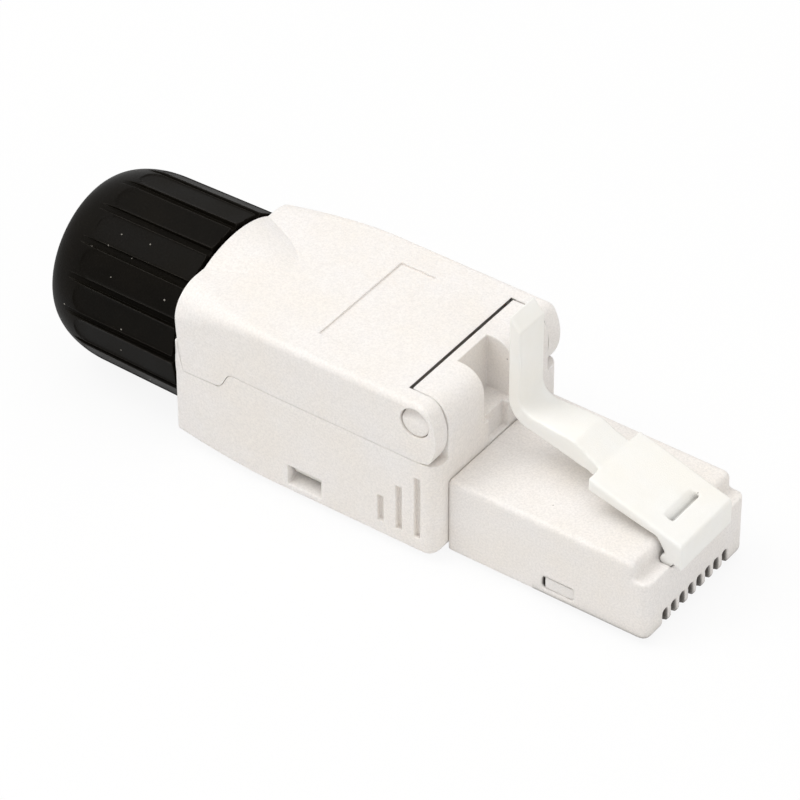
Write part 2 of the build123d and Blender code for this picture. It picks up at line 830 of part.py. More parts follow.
# Latch lever: a wide plate over the nose, then a narrow arm that turns up in front of the lid
latch_nose_height = housing_lift + latch_nose_rise
latch_arm_height = housing_lift + latch_arm_rise
latch_tip_height = housing_lift + latch_tip_rise
plate_end_z = latch_nose_height + latch_slope * (latch_shoulder + latch_overhang)
arm_bottom_z = latch_arm_height + latch_root_rise - latch_arm_thickness
tip_front_x = at(latch_upright)
tip_rear_x = at(latch_upright + latch_upright_thickness)
nose_tip_x = at(-latch_overhang)
shoulder_x = at(latch_shoulder)
belly_start_z = latch_nose_height + latch_slope * (latch_belly_start + latch_overhang) - latch_thickness
latch_foot_z = latch_nose_height - latch_nose_drop

with BuildPart() as latch_lever:
    with BuildSketch(Plane.XZ) as lever_side:
        with BuildLine():
            Polyline(
                (nose_tip_x, latch_foot_z),
                (nose_tip_x, latch_nose_height),
                (shoulder_x, plate_end_z),
                (at(latch_shoulder + latch_neck_length), latch_arm_height - latch_root_rise),
                (tip_front_x, latch_arm_height + latch_root_rise),
                (tip_front_x, latch_tip_height - latch_tip_slant),
                (tip_rear_x, latch_tip_height),
                (tip_rear_x, arm_bottom_z),
                (at(latch_shoulder + latch_neck_length / 2), plate_end_z - latch_thickness),
                (at(latch_belly_start), belly_start_z),
                (at(latch_belly_bend), latch_nose_height),
                (at(latch_belly_knee), latch_nose_height - latch_belly_knee_drop),
                (at(latch_belly_foot), latch_foot_z + latch_belly_foot_rise),
                close=True,
            )
        make_face()
        front_bend = (tip_front_x, latch_arm_height + latch_root_rise)
        fillet(lever_side.vertices().sort_by_distance(front_bend)[0], latch_front_bend)
        rear_bend = (tip_rear_x, arm_bottom_z)
        fillet(lever_side.vertices().sort_by_distance(rear_bend)[0], latch_rear_bend)
        nose_corner = (nose_tip_x, latch_nose_height)
        fillet(lever_side.vertices().sort_by_distance(nose_corner)[0], latch_nose_round)
        with Locations((latch_root_x, latch_root_z)):
            Circle(latch_root_radius)
    extrude(amount=latch_width / 2, both=True)
    with BuildSketch(Plane.XY) as lever_plan:
        with BuildLine():
            Polyline(
                (nose_tip_x + overcut, 0),
                (nose_tip_x + overcut, latch_width / 2),
                (shoulder_x, latch_width / 2),
                (shoulder_x, latch_arm_root_width / 2),
                (at(latch_upright - latch_front_bend), latch_arm_width / 2),
                (at(latch_upright + latch_rear_bend), latch_arm_width / 2),
                (at(latch_upright + latch_rear_bend), 0),
                close=True,
            )
        make_face()
        mirror(about=Plane.XZ)
    extrude(amount=high_z + far_margin, mode=Mode.INTERSECT)
    slot_rear_z = latch_nose_height + latch_slope * (slot_middle + latch_slot_width / 2 + latch_overhang)
    slot_front_z = slot_rear_z - latch_slope * latch_slot_width
    with BuildSketch(Plane.XZ):
        with BuildLine():
            Polyline(
                (at(slot_middle + latch_slot_width / 2), slot_rear_z),
                (at(slot_middle + latch_slot_width / 2), slot_rear_z + overcut),
                (at(slot_middle - latch_slot_width / 2), slot_rear_z + overcut),
                (at(slot_middle - latch_slot_width / 2), slot_front_z - latch_slot_depth),
                close=True,
            )
        make_face()
    extrude(amount=latch_slot_length / 2, both=True, mode=Mode.SUBTRACT)
finish(latch_lever, "latch_lever")

# Clamp collet: plugged into the collar, with fingers that close on the cable
collar_end = housing_rear + collar_length
finger_start = collar_end + collet_flange
finger_end = cap_rear - end_wall - finger_tip_gap
finger_length = finger_end - finger_start
finger_root_radius = collet_flange_radius - finger_step

with BuildPart() as clamp_collet:
    with BuildSketch(Plane.XZ):
        with BuildLine():
            Polyline(
                (at(collar_end - collet_stub), cap_axis_z + collet_bore_radius),
                (at(collar_end - collet_stub), cap_axis_z + collar_bore_radius - seat_clearance),
                (at(collar_end), cap_axis_z + collar_bore_radius - seat_clearance),
                (at(collar_end), cap_axis_z + collet_flange_radius),
                (at(finger_start), cap_axis_z + collet_flange_radius),
                (at(finger_start), cap_axis_z + finger_root_radius),
                (at(finger_end), cap_axis_z + finger_tip_radius),
                (at(finger_end), cap_axis_z + collet_bore_radius),
                close=True,
            )
        make_face()
    revolve(axis=cap_axis)
    with Locations(Plane(origin=(at(finger_start), 0, cap_axis_z), x_dir=(0, 1, 0), z_dir=(-1, 0, 0))):
        with PolarLocations(0, finger_count):
            Box(
                2 * cap_radius,
                finger_slit,
                finger_length + overcut,
                align=(Align.MIN, Align.CENTER, Align.MIN),
                mode=Mode.SUBTRACT,
            )
finish(clamp_collet, "clamp_collet")

# Clamp ring: carried along by the cap, its cone closes the fingers
thread_bore_radius = collar_radius + thread_room
ring_rear = cap_rear - end_wall - seat_clearance
ring_length = finger_length - ring_setback
ring_front = ring_rear - ring_length
finger_slope = (finger_root_radius - finger_tip_radius) / finger_length


def cone_radius(setback):
    """Inner radius of the clamp ring, a little clear of the fingers."""
    return finger_root_radius - finger_slope * (setback - finger_start) + ring_clearance


with BuildPart() as clamp_ring:
    with BuildSketch(Plane.XZ):
        with BuildLine():
            Polyline(
                (at(ring_front), cap_axis_z + cone_radius(ring_front)),
                (at(ring_front), cap_axis_z + thread_bore_radius - ring_clearance),
                (at(ring_rear), cap_axis_z + thread_bore_radius - ring_clearance),
                (at(ring_rear), cap_axis_z + cone_radius(ring_rear)),
                close=True,
            )
        make_face()
    revolve(axis=cap_axis)
finish(clamp_ring, "clamp_ring")

# Cap nut: a slightly tapered nut of sixteen flats with a groove between each two, and a domed end
cap_taper = (cap_radius - cap_dome_radius) / cap_barrel_length
half_groove = math.asin(groove_width / 2 / cap_radius)
flat_angle = math.pi / cap_facet_count - half_groove
flat_front = cap_radius * math.cos(flat_angle)
flat_half_width = cap_radius * math.sin(flat_angle)
dome_start = cap_front + cap_barrel_length
cap_plane = Plane(origin=(at(cap_front), 0, cap_axis_z), x_dir=(0, 1, 0), z_dir=(-1, 0, 0))

with BuildPart() as flat_cutter:
    with BuildSketch(Plane.XZ):
        with BuildLine():
            Polyline(
                (flat_front + cap_taper * overcut, -overcut),
                (flat_front - cap_taper * cap_length, cap_length),
                (cap_radius + overcut, cap_length),
                (cap_radius + overcut, -overcut),
                close=True,
            )
        make_face()
    extrude(amount=flat_half_width, both=True)

with BuildPart() as groove_cutter:
    with BuildSketch(Plane.XY.offset(-overcut)):
        with BuildLine():
            Polyline(
                (groove_floor_radius, -groove_floor_width / 2),
                (groove_floor_radius, groove_floor_width / 2),
                (cap_radius, groove_width / 2),
                (cap_radius + overcut, groove_width / 2),
                (cap_radius + overcut, -groove_width / 2),
                (cap_radius, -groove_width / 2),
                close=True,
            )
        make_face()
    extrude(amount=cap_length + overcut)

with BuildPart() as cap_nut:
    with BuildSketch(Plane.XZ):
        with BuildLine():
            Polyline(
                (at(cap_rear), cap_axis_z + cap_end_radius),
                (at(cap_rear), cap_axis_z + cable_bore_radius),
                (at(cap_rear - end_wall), cap_axis_z + cable_bore_radius),
                (at(cap_rear - end_wall), cap_axis_z + thread_bore_radius),
                (at(cap_front), cap_axis_z + thread_bore_radius),
                (at(cap_front), cap_axis_z + cap_radius - cap_edge_chamfer),
                (at(cap_front + cap_edge_chamfer), cap_axis_z + cap_radius),
                (at(dome_start), cap_axis_z + cap_dome_radius),
            )
            EllipticalCenterArc(
                (at(dome_start), cap_axis_z + cap_end_radius),
                cap_dome_length,
                cap_dome_radius - cap_end_radius,
                start_angle=90,
                arc_size=90,
            )
        make_face()
    revolve(axis=cap_axis)
    with Locations(cap_plane):
        with PolarLocations(0, cap_facet_count, start_angle=cap_rest_turn):
            add(flat_cutter.part, mode=Mode.SUBTRACT)
        with PolarLocations(0, cap_facet_count, start_angle=cap_rest_turn + 180 / cap_facet_count):
            add(groove_cutter.part, mode=Mode.SUBTRACT)
finish(cap_nut, "cap_nut")
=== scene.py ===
import itertools
import json
import math

import bmesh
import bpy
from mathutils import Matrix, Vector


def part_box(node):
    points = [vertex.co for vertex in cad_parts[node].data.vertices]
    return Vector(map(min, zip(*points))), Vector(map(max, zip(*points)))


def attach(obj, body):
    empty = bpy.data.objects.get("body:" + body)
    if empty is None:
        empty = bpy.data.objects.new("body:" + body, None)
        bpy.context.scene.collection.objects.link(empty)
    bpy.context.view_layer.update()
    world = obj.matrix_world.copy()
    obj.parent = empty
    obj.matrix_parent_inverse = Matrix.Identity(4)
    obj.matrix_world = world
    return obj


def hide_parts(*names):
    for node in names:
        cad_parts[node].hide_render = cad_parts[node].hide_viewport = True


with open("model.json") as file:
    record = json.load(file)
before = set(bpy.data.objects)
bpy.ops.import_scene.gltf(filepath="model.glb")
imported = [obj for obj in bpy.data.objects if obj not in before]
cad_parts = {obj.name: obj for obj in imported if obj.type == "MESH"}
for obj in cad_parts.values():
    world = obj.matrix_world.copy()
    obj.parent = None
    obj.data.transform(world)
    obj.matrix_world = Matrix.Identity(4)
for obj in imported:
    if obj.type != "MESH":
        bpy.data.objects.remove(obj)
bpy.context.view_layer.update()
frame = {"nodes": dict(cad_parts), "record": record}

nodes = frame["nodes"]

# A millimetre, and how near two points are merged, in metres
MM = 0.001
MERGE_DISTANCE = 1e-7

# Camera: the place and lens that the photograph was taken with, worked out from the plug's known sizes
camera_azimuth = 35.834
camera_elevation = 39.321
camera_roll = -0.133
camera_place = (0.150086, -0.207007, 0.214814)
focal_pixels = 4901.3
photo_pixels = 800
sensor_mm = 36.0

# Cap nut, in millimetres; the face radii are rings of points between the dome and the hole
cap_radius = 7.08
cap_dome_radius = 6.94
cap_end_radius = 4.72
cap_barrel_length = 7.43
cap_face_radii = (4.4, 3.9)
cap_hole_radius = 3.3
cap_bore_radius = 5.3
cap_end_wall = 2.2
cap_rim_round = 0.1
cap_hole_round = 0.15
cap_bore_round = 0.1
cap_flat_count = 16
flat_ledge = 0.014
flat_sink = 0.05
groove_floor_radius = 6.73
groove_half_floor = 0.22
groove_half_mouth = 0.31
groove_lip_blend = 0.07
first_groove = math.radians(-1.0)

# Thread on the collar, in millimetres, with its fade in turns, its least width as a share of the whole
# and its steps for each turn
thread_root_radius = 4.88
thread_crest_radius = 5.22
thread_pitch = 1.5
thread_start = 0.45
thread_end_margin = 0.5
thread_half_foot = 0.42
thread_half_crest = 0.16
thread_fade_turns = 0.35
thread_least_width = 0.15
thread_steps = 48
collar_length = 5.0

# Snap tabs in the nose windows: near corner of one tab, its far corner, and its rounding, in millimetres
tab_low = (16.44, 5.50, 1.00)
tab_high = (18.90, 5.70, 1.98)
tab_round = 0.05

# Boxes round the narrow hollows that hold deep shade, in millimetres
lid_gap_box = ((5.40, -6.0, 9.0), (5.90, 6.0, 13.5))
latch_slot_box = ((22.70, -1.7, 7.0), (23.62, 1.7, 8.2))
contact_slots_box = ((15.50, -6.0, 0.3), (24.60, 6.0, 2.2))

# Studio: sizes in metres; a lamp has its name, place, width, power in watts and colour
floor_size = 3.0
floor_grey = 0.86
floor_lift = 0.90
world_strength = 0.58
lamps = (
    ("key_box", (-0.27, -0.20, 0.50), 0.34, 1.5, (1.0, 0.995, 0.985)),
    ("top_box", (0.05, 0.02, 0.75), 0.60, 1.35, (1.0, 0.995, 0.985)),
    ("nose_box", (0.60, -0.20, 0.30), 0.40, 0.6, (1.0, 0.99, 0.97)),
)

# Colours, linear
WHITE = (0.90, 0.870, 0.848)
IVORY = (0.903, 0.897, 0.872)
NATURAL = (0.78, 0.77, 0.73)
BLACK = (0.0030, 0.0024, 0.0016)
GOLD = (0.80, 0.58, 0.25)
TIN = (0.68, 0.67, 0.64)
BOARD = (0.02, 0.14, 0.07)
SOFT_LIGHT = (1.0, 0.99, 0.975)
PURE_WHITE = (1.0, 1.0, 1.0)
# Painted shade for corners, creases and gaps, where the surface is closed in
PAINTED_CORNER_SHADE = (0.42, 0.38, 0.34)
DEEP_SHADE = (0.04, 0.034, 0.028)
BROWN_SPECK = (0.20, 0.17, 0.15)
# Painted highlight for the open edges of black plastic
PAINTED_EDGE_HIGHLIGHT = (0.07, 0.063, 0.055)
PALE_DUST = (0.30, 0.28, 0.25)
DUST_FILM = (0.16, 0.15, 0.13)

# What is left of each channel where pale plastic has yellowed
YELLOWED_SHARES = (1.0, 0.985, 0.955)

# How far light spreads inside pale plastic, by channel and in millimetres
SPREAD_SHARES = (1.0, 0.93, 0.85)
SPREAD_DEPTH = 0.5

# Noise on plated metal is this much finer across the strip than along it
BRUSH_SCALE = (0.6, 14.0, 14.0)

# Samples taken at each point by the nodes that look around it
SHADER_SAMPLES = 6

# Places of the colour sockets on a mix node
MIX_FACTOR = 0
MIX_FIRST = 6
MIX_SECOND = 7
MIX_RESULT = 2

# Steps across a rounded edge
ROUNDING_STEPS = 3


# Node helpers
class Tree:
    """The node tree of a material or the world, with short ways to add and join nodes."""

    def __init__(self, owner, output="ShaderNodeOutputMaterial"):
        self.owner = owner
        self.owner.use_nodes = True
        self.tree = self.owner.node_tree
        self.tree.nodes.clear()
        self.output = self.add(output)

    def add(self, kind, inputs=None, **settings):
        node = self.tree.nodes.new(kind)
        for key, value in settings.items():
            setattr(node, key, value)
        for key, value in (inputs or {}).items():
            self.feed(node, key, value)
        return node

    def feed(self, node, key, value):
        socket = node.inputs[key]
        if isinstance(value, bpy.types.NodeSocket):
            self.tree.links.new(value, socket)
        else:
            socket.default_value = value

    def millimetres(self):
        """Object coordinates, counted in millimetres."""
        place = self.add("ShaderNodeTexCoord").outputs["Object"]
        scaled = self.add("ShaderNodeVectorMath", {0: place, "Scale": 1000.0}, operation="SCALE")
        return scaled.outputs["Vector"]

    def noise(self, place, scale, detail=2.0, rough=0.5):
        inputs = {"Vector": place, "Scale": scale, "Detail": detail, "Roughness": rough}
        return self.add("ShaderNodeTexNoise", inputs).outputs["Fac"]

    def specks(self, place, scale, size, rarity):
        """1 in small round specks, in those cells of a scatter that pass the rarity, and 0 elsewhere."""
        cells = self.add("ShaderNodeTexVoronoi", {"Vector": place, "Scale": scale})
        near = self.maths("LESS_THAN", cells.outputs["Distance"], size)
        return self.maths("MULTIPLY", near, self.maths("GREATER_THAN", cells.outputs["Color"], rarity))

    def soft_normal(self, radius):
        """Normals as if the edges were rounded to this radius, in millimetres."""
        return self.add("ShaderNodeBevel", {"Radius": radius * MM}, samples=SHADER_SAMPLES).outputs[0]

    def openness(self, reach):
        """1 on an open face, less the more closed in it is within this reach, in millimetres."""
        node = self.add("ShaderNodeAmbientOcclusion", {"Distance": reach * MM}, samples=SHADER_SAMPLES)
        return node.outputs["AO"]

    def bump(self, height, strength, depth, normal=None):
        """Normals with a fine relief of this depth, in millimetres."""
        inputs = {"Strength": strength, "Distance": depth * MM, "Height": height}
        if normal is not None:
            inputs["Normal"] = normal
        return self.add("ShaderNodeBump", inputs).outputs[0]

    def span(self, value, low, high, to_low, to_high):
        """Maps value from low..high to to_low..to_high, clamped."""
        inputs = {"Value": value, "From Min": low, "From Max": high, "To Min": to_low, "To Max": to_high}
        return self.add("ShaderNodeMapRange", inputs).outputs["Result"]

    def mix(self, factor, first, second):
        node = self.add("ShaderNodeMix", data_type="RGBA")
        self.feed(node, MIX_FACTOR, factor)
        self.feed(node, MIX_FIRST, first)
        self.feed(node, MIX_SECOND, second)
        return node.outputs[MIX_RESULT]

    def maths(self, operation, first, second=0.0):
        return self.add("ShaderNodeMath", {0: first, 1: second}, operation=operation).outputs[0]

    def inside(self, place, low, high):
        """1 inside a box, given by two of its corners, and 0 outside it."""
        middle = tuple((a + b) / 2 for a, b in zip(low, high))
        half = tuple((b - a) / 2 for a, b in zip(low, high))
        offset = self.add("ShaderNodeVectorMath", {0: place, 1: middle}, operation="SUBTRACT").outputs[0]
        share = self.add("ShaderNodeVectorMath", {0: offset, 1: half}, operation="DIVIDE").outputs[0]
        size = self.add("ShaderNodeVectorMath", {0: share}, operation="ABSOLUTE").outputs[0]
        split = self.add("ShaderNodeSeparateXYZ", {0: size})
        wide = self.maths("MAXIMUM", split.outputs[0], split.outputs[1])
        return self.maths("LESS_THAN", self.maths("MAXIMUM", wide, split.outputs[2]), 1.0)

    def seen(self):
        """1 to the camera and in gloss and glass, and 0 to the light that falls on the object."""
        path = self.add("ShaderNodeLightPath").outputs
        mirrored = self.maths("MAXIMUM", path["Is Glossy Ray"], path["Is Transmission Ray"])
        return self.maths("MAXIMUM", path["Is Camera Ray"], mirrored)

    def blend(self, factor, first, second):
        """Ends the tree in a mix of two shaders."""
        mixed = self.add("ShaderNodeMixShader", {0: factor, 1: first.outputs[0], 2: second.outputs[0]})
        self.feed(self.output, "Surface", mixed.outputs[0])

    def surface(self, **inputs):
        """Ends the tree in a principled shader."""
        shader = self.add("ShaderNodeBsdfPrincipled", {k.replace("_", " "): v for k, v in inputs.items()})
        self.feed(self.output, "Surface", shader.outputs[0])


def rgba(colour, factor=1.0):
    return (*(channel * factor for channel in colour), 1.0)


# Moulded plastic: slow mottling, spark-eroded grain, soft edges, painted shade in corners, specks, and deep
# shade in one narrow hollow, given as a box
def moulded_plastic(
    name, colour, grain, rough, edge=0.06, specular=0.4, translucent=0.25, reach=0.6, hollow=None
):
    tree = Tree(bpy.data.materials.new(name))
    place = tree.millimetres()
    slow = tree.noise(place, scale=0.22, detail=3.0)
    cloud = tree.noise(place, scale=1.1)
    fine = tree.noise(place, scale=6.5, detail=3.0, rough=0.75)
    eroded = tree.noise(place, scale=11.0, detail=3.0, rough=0.65)
    open_air = tree.openness(reach)
    yellowed = tuple(channel * share for channel, share in zip(colour, YELLOWED_SHARES))
    coloured = tree.mix(tree.span(slow, 0.35, 0.65, 0.0, 1.0), rgba(colour), rgba(yellowed))
    coloured = tree.mix(tree.span(cloud, 0.3, 0.7, 0.0, 0.05), coloured, rgba(colour, 0.80))
    coloured = tree.mix(tree.span(fine, 0.35, 0.7, 0.0, grain), coloured, rgba(colour, 0.62))
    # Painted shade: darker where the surface is closed in, in corners, creases, gaps and under things
    coloured = tree.mix(tree.span(open_air, 0.3, 0.75, 0.06, 0.0), coloured, rgba(PAINTED_CORNER_SHADE))
    if hollow:
        shade = tree.span(open_air, 0.3, 0.85, 0.95, 0.0)
        depth = tree.maths("MULTIPLY", shade, tree.inside(place, *hollow))
        coloured = tree.mix(depth, coloured, rgba(DEEP_SHADE))
    speck = tree.specks(place, scale=0.55, size=0.035, rarity=0.72)
    coloured = tree.mix(tree.maths("MULTIPLY", speck, 0.55), coloured, rgba(BROWN_SPECK))
    tree.surface(
        Base_Color=coloured,
        Roughness=tree.span(cloud, 0.3, 0.7, rough - 0.05, rough + 0.07),
        Specular_IOR_Level=specular,
        Subsurface_Weight=translucent,
        Subsurface_Radius=SPREAD_SHARES,
        Subsurface_Scale=SPREAD_DEPTH * MM,
        Normal=tree.bump(eroded, strength=0.6, depth=0.03, normal=tree.soft_normal(edge)),
    )
    return tree.owner


# Black plastic: satin grain, painted highlights on open edges, a thin film and specks of dust, and dull,
# dark grooves
def black_plastic(name, colour, shine=0.042):
    tree = Tree(bpy.data.materials.new(name))
    place = tree.millimetres()
    slow = tree.noise(place, scale=0.35, detail=3.0)
    fine = tree.noise(place, scale=7.0, detail=3.0, rough=0.65)
    soft = tree.soft_normal(0.08)
    open_air = tree.openness(0.45)
    true_normal = tree.add("ShaderNodeNewGeometry").outputs["Normal"]
    turned = tree.add("ShaderNodeVectorMath", {0: soft, 1: true_normal}, operation="DOT_PRODUCT")
    # Painted highlight: a paler colour on the open, rounded edges
    on_edge = tree.span(turned.outputs["Value"], 0.90, 0.99, 0.7, 0.0)
    edge_highlight = tree.maths("MULTIPLY", on_edge, tree.span(open_air, 0.75, 0.92, 0.0, 1.0))
    coloured = tree.mix(tree.span(slow, 0.3, 0.7, 0.0, 1.0), rgba(colour), rgba(colour, 1.7))
    coloured = tree.mix(edge_highlight, coloured, rgba(PAINTED_EDGE_HIGHLIGHT))
    speck = tree.specks(place, scale=0.9, size=0.06, rarity=0.5)
    coloured = tree.mix(tree.maths("MULTIPLY", speck, 0.8), coloured, rgba(PALE_DUST))
    coloured = tree.mix(tree.span(fine, 0.5, 0.8, 0.0, 0.02), coloured, rgba(DUST_FILM))
    tree.surface(
        Base_Color=coloured,
        Roughness=tree.span(slow, 0.3, 0.7, 0.42, 0.54),
        Specular_IOR_Level=tree.span(open_air, 0.6, 0.92, 0.0, shine),
        Normal=tree.bump(fine, strength=0.4, depth=0.025, normal=soft),
    )
    return tree.owner


# Plated and tinned metal: fine brushing along the strip and a little tarnish
def plated_metal(name, colour, rough):
    tree = Tree(bpy.data.materials.new(name))
    place = tree.millimetres()
    stretched = tree.add("ShaderNodeMapping", {"Vector": place, "Scale": BRUSH_SCALE}).outputs[0]
    brush = tree.noise(stretched, scale=1.0, detail=3.0)
    stain = tree.noise(place, scale=1.4, detail=3.0)
    tree.surface(
        Base_Color=tree.mix(tree.span(stain, 0.35, 0.7, 0.0, 0.35), rgba(colour), rgba(colour, 0.55)),
        Metallic=1.0,
        Roughness=tree.span(brush, 0.3, 0.7, rough - 0.06, rough + 0.08),
        Normal=tree.bump(brush, strength=0.25, depth=0.01),
    )
    return tree.owner


# Circuit board: green lacquer over a fine weave
def lacquered_board(name, colour):
    tree = Tree(bpy.data.materials.new(name))
    place = tree.millimetres()
    wave = {"Vector": place, "Scale": 2.2, "Distortion": 0.6}
    weave = tree.add("ShaderNodeTexWave", wave, bands_direction="X").outputs[1]
    stain = tree.noise(place, scale=0.8, detail=3.0)
    coloured = tree.mix(tree.span(stain, 0.3, 0.7, 0.0, 0.4), rgba(colour), rgba(colour, 1.8))
    tree.surface(
        Base_Color=tree.mix(tree.span(weave, 0.2, 0.8, 0.0, 0.15), coloured, rgba(colour, 0.6)),
        Roughness=tree.span(stain, 0.3, 0.7, 0.22, 0.34),
        Normal=tree.bump(weave, strength=0.15, depth=0.01),
    )
    return tree.owner


materials = {
    "white_shell": moulded_plastic("moulded_white", WHITE, grain=0.36, rough=0.52, hollow=lid_gap_box),
    "white_lever": moulded_plastic(
        "smooth_ivory", IVORY, grain=0.03, rough=0.38, translucent=0.1, hollow=latch_slot_box
    ),
    "white_inner": moulded_plastic("inner_white", NATURAL, grain=0.05, rough=0.48),
    "pale_collet": moulded_plastic("collet_natural", NATURAL, grain=0.03, rough=0.42),
    "board": lacquered_board("board_green", BOARD),
    "gold_contact": plated_metal("gold_plate", GOLD, rough=0.24),
    "tinned_terminal": plated_metal("tinned", TIN, rough=0.32),
    "black_ring": black_plastic("ring_black", BLACK),
    "black_cap": black_plastic("cap_black", BLACK),
}
nose_material = moulded_plastic(
    "nose_white", WHITE, grain=0.42, rough=0.55, translucent=0.1, reach=1.8, hollow=contact_slots_box
)
for part in frame["record"]["subparts"]:
    mesh = nodes[part["node"]].data
    mesh.materials.clear()
    mesh.materials.append(materials[part["material_slot"]])
nodes["plug_shell"].data.materials[0] = nose_material


# Rounded edges: modifiers on the nodes, so that their own meshes stay as they are
def round_edges(name, width, flat=0.3, sharp=40.0):
    """Joins a node's flat faces, up to one angle, and rounds its edges above another, in degrees."""
    piece = nodes[name]
    weld = piece.modifiers.new("weld", "WELD")
    weld.merge_threshold = MERGE_DISTANCE
    plain = piece.modifiers.new("plain_faces", "DECIMATE")
    plain.decimate_type = "DISSOLVE"
    plain.angle_limit = math.radians(flat)
    bevel = piece.modifiers.new("rounded_edges", "BEVEL")
    bevel.limit_method = "ANGLE"
    bevel.angle_limit = math.radians(sharp)
    bevel.width = width * MM
    bevel.segments = ROUNDING_STEPS
    bevel.use_clamp_overlap = False
    shading = piece.modifiers.new("even_shading", "WEIGHTED_NORMAL")
    shading.keep_sharp = False


def melt_edges(name, cell, rounds):
    """Rounds every edge and bend of a node softly, by a fine remesh that is smoothed."""
    piece = nodes[name]
    cells = piece.modifiers.new("fine_cells", "REMESH")
    cells.mode = "VOXEL"
    cells.voxel_size = cell * MM
    cells.use_smooth_shade = True
    smooth = piece.modifiers.new("melted", "SMOOTH")
    smooth.factor = 0.5
    smooth.iterations = rounds


round_edges("base_housing", width=0.09)
melt_edges("latch_lever", cell=0.085, rounds=12)
melt_edges("plug_shell", cell=0.12, rounds=2)


def add_mesh(name, vertices, faces, material_slot, body):
    """A smooth piece in millimetres that rides on a body."""
    mesh = bpy.data.meshes.new(name)
    mesh.from_pydata([Vector(v) * MM for v in vertices], [], faces)
    tidy = bmesh.new()
    tidy.from_mesh(mesh)
    bmesh.ops.remove_doubles(tidy, verts=tidy.verts, dist=MERGE_DISTANCE)
    bmesh.ops.recalc_face_normals(tidy, faces=tidy.faces)
    tidy.to_mesh(mesh)
    tidy.free()
    mesh.shade_smooth()
    mesh.materials.append(materials[material_slot])
    piece = bpy.data.objects.new(name, mesh)
    bpy.context.scene.collection.objects.link(piece)
    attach(piece, body)
    return piece


# Cap nut: one skin wound round the axis, with sixteen flats, a groove between each two, and a domed end
cap_low, cap_high = (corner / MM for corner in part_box("cap_nut"))
cap_length = cap_high.x - cap_low.x
cap_axis_z = (cap_low.z + cap_high.z) / 2
cap_taper = (cap_radius - cap_dome_radius) / cap_barrel_length
dome_length = cap_length - cap_barrel_length
sector = 2 * math.pi / cap_flat_count
half_groove = math.asin(groove_half_mouth / cap_radius)
flat_distance = cap_radius * math.cos(sector / 2 - half_groove)
groove_slope = (cap_radius - groove_floor_radius) / (groove_half_mouth - groove_half_floor)

# Where the skin's points lie: across a sector, as shares or steps in millimetres, and along the cap
floor_shares = (0.5, 0.85, 1.0)
wall_shares = (0.15, 0.45, 0.75, 0.9)
lip_steps = (0.0, 0.02, 0.045, 0.08, 0.14)
flat_shares = (0.2, 0.4, 0.6, 0.8)
least_wall = 0.02
rim_steps = 5
barrel_steps = 12
fine_steps = 76
dome_steps = 16
fine_start = cap_barrel_length - 0.15
fine_end = cap_barrel_length + 2.2


def soft_min(first, second, width):
    """The smaller of two values, with a rounded change from one to the other."""
    blend = max(0.0, min(1.0, 0.5 + 0.5 * (second - first) / width))
    return second * (1 - blend) + first * blend - width * blend * (1 - blend)


def cap_envelope(run):
    """Radius of the cap's turned form this far behind its front face."""
    if run < cap_rim_round:
        return cap_radius - cap_rim_round + math.sqrt(cap_rim_round**2 - (cap_rim_round - run) ** 2)
    if run <= cap_barrel_length:
        return cap_radius - cap_taper * run
    share = min(1.0, (run - cap_barrel_length) / dome_length)
    return cap_end_radius + (cap_dome_radius - cap_end_radius) * math.sqrt(1 - share**2)


def cap_outside(run, angle):
    """Radius of the turned form with its flat, this far round from the middle of a groove."""
    envelope = cap_envelope(run)
    flat = (flat_distance - cap_taper * run) / math.cos(sector / 2 - abs(angle))
    sunk = max(0.0, min(1.0, (envelope - flat) / flat_ledge))
    return min(envelope, flat) - flat_sink * sunk * sunk * (3 - 2 * sunk)


def groove_columns(run):
    """Sideways places across one sector, close together at the groove's walls and edges."""
    edge_radius = cap_outside(run, half_groove)
    edge = groove_half_floor + max(least_wall, (edge_radius - groove_floor_radius) / groove_slope)
    middle = cap_radius * math.sin(sector / 2)
    side = [groove_half_floor * share for share in floor_shares]
    side += [groove_half_floor + (edge - groove_half_floor) * share for share in wall_shares]
    side += [edge + step for step in lip_steps]
    side += [side[-1] + (middle - side[-1]) * share for share in flat_shares]
    return [-place for place in reversed(side)] + [0.0] + side + [middle]


def cap_point(run, radius, turn):
    """A point this far behind the cap's front face, round its axis."""
    return (cap_high.x - run, radius * math.cos(turn), cap_axis_z + radius * math.sin(turn))


def cap_ring(run):
    """One ring of the outer skin."""
    ring = []
    for index in range(cap_flat_count):
        for place in groove_columns(run):
            angle = math.asin(place / cap_radius)
            wall = groove_floor_radius + max(0.0, abs(place) - groove_half_floor) * groove_slope
            radius = soft_min(cap_outside(run, angle), wall, groove_lip_blend)
            ring.append(cap_point(run, radius, first_groove + index * sector + angle))
    return ring


def plain_ring(run, radius):
    """One round ring of the end face or the inside, on the same columns as the skin."""
    ring = []
    for index in range(cap_flat_count):
        for place in groove_columns(0.0):
            turn = first_groove + index * sector + math.asin(place / cap_radius)
            ring.append(cap_point(run, radius, turn))
    return ring


def even_steps(start, end, count):
    """Evenly spaced values after start, up to end."""
    return [start + (end - start) * step / count for step in range(1, count + 1)]


